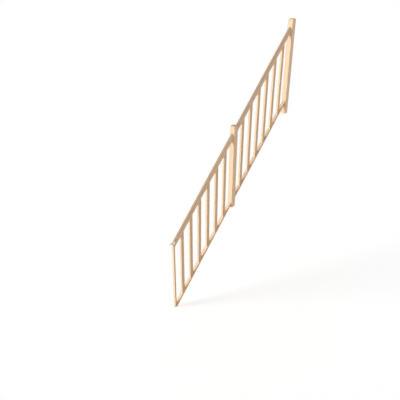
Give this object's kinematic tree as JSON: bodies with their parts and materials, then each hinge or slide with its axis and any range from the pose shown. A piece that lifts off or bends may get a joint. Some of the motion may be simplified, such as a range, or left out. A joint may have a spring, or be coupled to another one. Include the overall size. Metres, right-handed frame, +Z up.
{
  "type": "stair balustrade panel",
  "caption": "Raking softwood stair balustrade: flat spindles between a handrail and a base rail, carried by square newels.",
  "frame": {"origin": "on the upper newel's inner face, at its foot fixing, on the newel's centre line", "axes": "+X up the flight, +Y from the outside of the balustrade in towards the flight, +Z up"},
  "size_m": [2.339, 0.07, 3.2681],
  "materials": {
    "newel_pine": "planed, clear satin lacquer",
    "spindle_pine": "planed, clear satin lacquer",
    "rail_pine": "planed, clear satin lacquer",
    "handrail_pine": "moulded, clear satin lacquer",
    "zinc_steel": "bright zinc plate"
  },
  "bodies": {
    "root": {"upper_newel": "newel_pine", "middle_newel": "newel_pine", "end_batten": "spindle_pine", "lower_handrail": "handrail_pine", "upper_handrail": "handrail_pine", "lower_base_rail": "rail_pine", "upper_base_rail": "rail_pine", "spindle_01": "spindle_pine", "spindle_02": "spindle_pine", "spindle_03": "spindle_pine", "spindle_04": "spindle_pine", "spindle_05": "spindle_pine", "spindle_06": "spindle_pine", "spindle_07": "spindle_pine", "spindle_08": "spindle_pine", "spindle_09": "spindle_pine", "spindle_10": "spindle_pine", "spindle_11": "spindle_pine", "spindle_12": "spindle_pine", "handrail_bolt": "zinc_steel"}
  },
  "joints": []
}
